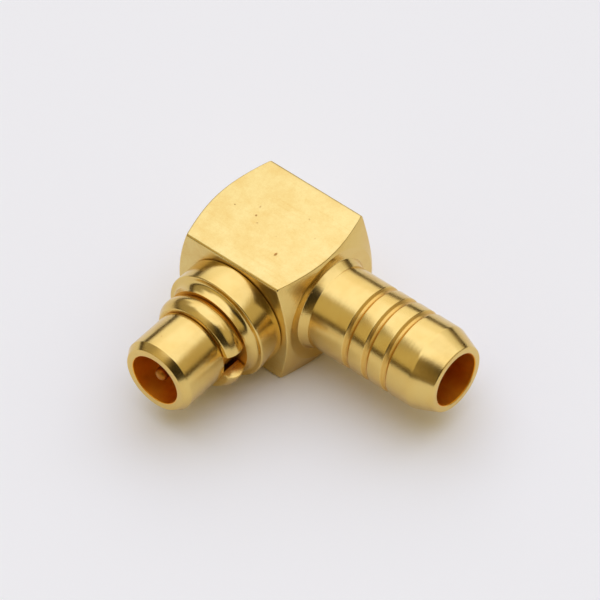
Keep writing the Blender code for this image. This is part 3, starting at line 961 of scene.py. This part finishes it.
# %% White plastic
BEAD_WHITE = (0.84, 0.83, 0.79, 1)
BEAD_SHADE = (0.74, 0.72, 0.66, 1)
bead_white, tree, shader = empty_material("bead_white")
position = position_in_mm(tree)
marks = use_group(tree, lathe_marks, {"Position": position, "Axis": PLUG_AXIS, "Lines per mm": 30.0})
patches = use_group(tree, mottling, {"Position": position, "Blotches per mm": 2.0})
plastic = mix_colour(tree, patches["Blotches"], BEAD_WHITE, BEAD_SHADE)
tree.links.new(plastic, shader.inputs["Base Color"])
bump_inputs = {"Height": marks["Height"], "Distance": 1.5 * MICRON, "Strength": 1.0}
bump = add(tree, "ShaderNodeBump", bump_inputs)
tree.links.new(bump.outputs["Normal"], shader.inputs["Normal"])
tree.links.new(maths(tree, "MULTIPLY_ADD", patches["Grain"], 0.15, 0.35), shader.inputs["Roughness"])
print("plastic:", bead_white.name)

# %% [markdown]
# ## Put the pieces on the frame
# Each fine piece stands for its solid, takes its finish and rides on the same body.

# %% Dress the frame
DRESS = [
    (body, "body", "connector", "body_plating", body_gold),
    (shell, "plug_shell", "connector", "shell_plating", shell_gold),
    (ring, "snap_ring", "split_ring", "ring_plating", ring_gold),
    (contact, "centre_contact", "connector", "contact_plating", contact_painted_shade_gold),
    (bead, "front_insulator", "connector", "insulator", bead_white),
    (disc, "cap_insulator", "connector", "insulator", bead_white),
    (cap, "rear_cap", "connector", "cap_plating", cap_gold),
]
for piece, node_name, body_name, slot_name, finish in DRESS:
    piece.data.materials.clear()
    piece.data.materials.append(finish)
    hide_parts(node_name)
    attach(piece, body_name)
print(len(DRESS), "pieces dressed")

# %% [markdown]
# ## The studio
# Bright metal shows nothing but its surroundings. So the studio is a light tent: one soft bright roof that
# comes down low at the back, dimmer warm walls, a dark line along the horizon, and the dark place where the
# camera looks in. It is painted on the world by direction, as soft patches. Azimuth 0 is +Y, 90 is +X.

# %% The tent
TENT_BASE = (0.38, 0.30, 0.18)
PATCHES = [
    # what, azimuth, half width, low, high, softness, colour
    ("warm wall on the plug's side", -150, 45, -90, 62, 14, (0.66, 0.58, 0.36)),
    ("warm wall on the cable's side", 55, 65, -90, 58, 14, (0.60, 0.52, 0.33)),
    ("back wall", -50, 85, -90, 90, 12, (0.43, 0.39, 0.29)),
    ("foot of the walls", 0, 181, -90, 14, 9, (0.40, 0.30, 0.16)),
    ("back light", -38, 28, 16, 90, 9, (1.22, 1.22, 1.30)),
    ("back light, right", 12, 24, 22, 90, 9, (1.03, 1.03, 1.08)),
    ("roof", 0, 181, 58, 91, 7, (1.40, 1.45, 1.78)),
    ("roof, back", -35, 68, 42, 91, 7, (1.40, 1.45, 1.78)),
    ("roof, right", 42, 34, 46, 91, 6, (1.30, 1.34, 1.62)),
    ("horizon", 0, 181, -90, 15, 5, (0.06, 0.04, 0.02)),
    ("dim place beside the camera", 146, 24, -90, 52, 9, (0.24, 0.18, 0.08)),
    ("dark place of the camera", 132, 20, -90, 56, 8, (0.03, 0.024, 0.014)),
]


def tent():
    """Paints the world: each patch is laid over the ones before it.

    A patch whose half width is over 180 degrees runs all the way round, and one that reaches 90 degrees has
    no upper edge.
    """
    world = bpy.data.worlds.new("tent")
    bpy.context.scene.world = world
    world.use_nodes = True
    tree = world.node_tree
    direction = add(tree, "ShaderNodeTexCoord").outputs["Generated"]
    parts = add(tree, "ShaderNodeSeparateXYZ", {0: direction}).outputs
    azimuth = maths(tree, "DEGREES", maths(tree, "ARCTAN2", parts["X"], parts["Y"]))
    elevation = maths(tree, "DEGREES", maths(tree, "ARCSINE", parts["Z"]))
    colour = (*TENT_BASE, 1)
    for _, middle, half, low, high, soft, tone in PATCHES:
        away = maths(tree, "WRAP", maths(tree, "SUBTRACT", azimuth, middle), -180.0, 180.0)
        away = maths(tree, "ABSOLUTE", away)
        mask = between(tree, elevation, low - soft, low + soft)
        if high < 90:
            below = between(tree, elevation, high - soft, high + soft, 1.0, 0.0)
            mask = maths(tree, "MULTIPLY", mask, below)
        if half <= 180:
            inside = between(tree, away, half - soft, half + soft, 1.0, 0.0)
            mask = maths(tree, "MULTIPLY", mask, inside)
        colour = mix_colour(tree, mask, colour, (*tone, 1))
    tree.links.new(colour, tree.nodes["Background"].inputs["Color"])


tent()
print(len(PATCHES), "patches on the tent")

# %% [markdown]
# ## The floor
# A plain sheet of near white paper under the part, which keeps its soft shadow. Far out it sweeps up all
# round, as a photographer's paper does, so that a level view still has pale paper behind the part.

# %% Lay the floor
FLAT_REACH = 0.288
PAPER_REACH = 0.330
PAPER_RISE = 0.018
FLOOR_COLUMNS = 96
FLOOR_WHITE = (0.97, 0.965, 0.915, 1)
floor_angles = np.linspace(0, 2 * math.pi, FLOOR_COLUMNS, endpoint=False)
reach = np.concatenate([[0.02, 0.10], np.linspace(FLAT_REACH, PAPER_REACH, 12)])
height = PAPER_RISE * (np.maximum(reach - FLAT_REACH, 0) / (PAPER_REACH - FLAT_REACH)) ** 2
floor_points = np.stack(
    [
        reach[:, None] * np.cos(floor_angles),
        reach[:, None] * np.sin(floor_angles),
        np.repeat(height[:, None], FLOOR_COLUMNS, axis=1),
    ],
    axis=-1,
)
floor_mesh = bpy.data.meshes.new("floor")
floor_faces = grid_faces(len(reach), FLOOR_COLUMNS, rows_close=False, columns_close=True).tolist()
floor_faces.append(list(range(FLOOR_COLUMNS)))
floor_mesh.from_pydata(floor_points.reshape(-1, 3), [], floor_faces)
floor = bpy.data.objects.new("floor", floor_mesh)
bpy.context.scene.collection.objects.link(floor)

floor_paint = bpy.data.materials.new("floor_paint")
floor_paint.use_nodes = True
tree = floor_paint.node_tree
tree.nodes.remove(tree.nodes["Principled BSDF"])
paint = add(tree, "ShaderNodeBsdfDiffuse", {"Color": FLOOR_WHITE})
tree.links.new(paint.outputs[0], tree.nodes["Material Output"].inputs["Surface"])
floor_mesh.materials.append(floor_paint)
print("floor laid")

# %% [markdown]
# ## The camera
# It looks down from between the two arms, through a very long lens, so that the view is nearly parallel.
# Its direction, distance and lens were worked out from the outline of the real thing.

# %% Place the camera
AZIMUTH = math.radians(41.88)
ELEVATION = math.radians(47.87)
ROLL = math.radians(-2.0)
DISTANCE = 0.3804
SENSOR = 36.0
FOCAL_IN_FRAMES = 13198.48 / 600  # the lens's length over the sensor's width
LOOK_RIGHT = -0.000619  # where the crossing lies from the middle of the view, in metres
LOOK_UP = 0.000846

back = np.array(
    [
        math.sin(AZIMUTH) * math.cos(ELEVATION),
        -math.cos(AZIMUTH) * math.cos(ELEVATION),
        math.sin(ELEVATION),
    ]
)
level = np.array([math.cos(AZIMUTH), math.sin(AZIMUTH), 0])
upward = np.cross(back, level)
right = math.cos(ROLL) * level + math.sin(ROLL) * upward
up = -math.sin(ROLL) * level + math.cos(ROLL) * upward
place = CROSSING + DISTANCE * back - LOOK_RIGHT * right - LOOK_UP * up

camera_data = bpy.data.cameras.new("camera")
camera_data.sensor_width = SENSOR
camera_data.lens = FOCAL_IN_FRAMES * SENSOR
camera = bpy.data.objects.new("camera", camera_data)
axes = np.stack([right, up, back, place], axis=1)
camera.matrix_world = Matrix([*axes.tolist(), [0, 0, 0, 1]])
bpy.context.scene.collection.objects.link(camera)
bpy.context.scene.camera = camera
bpy.context.scene.view_settings.view_transform = "Standard"
print(f"camera at {np.round(place * 1000, 1)} mm, lens {camera_data.lens:.1f} mm")

# %% [markdown]
# ## The end

# %% Finish
print("scene built")
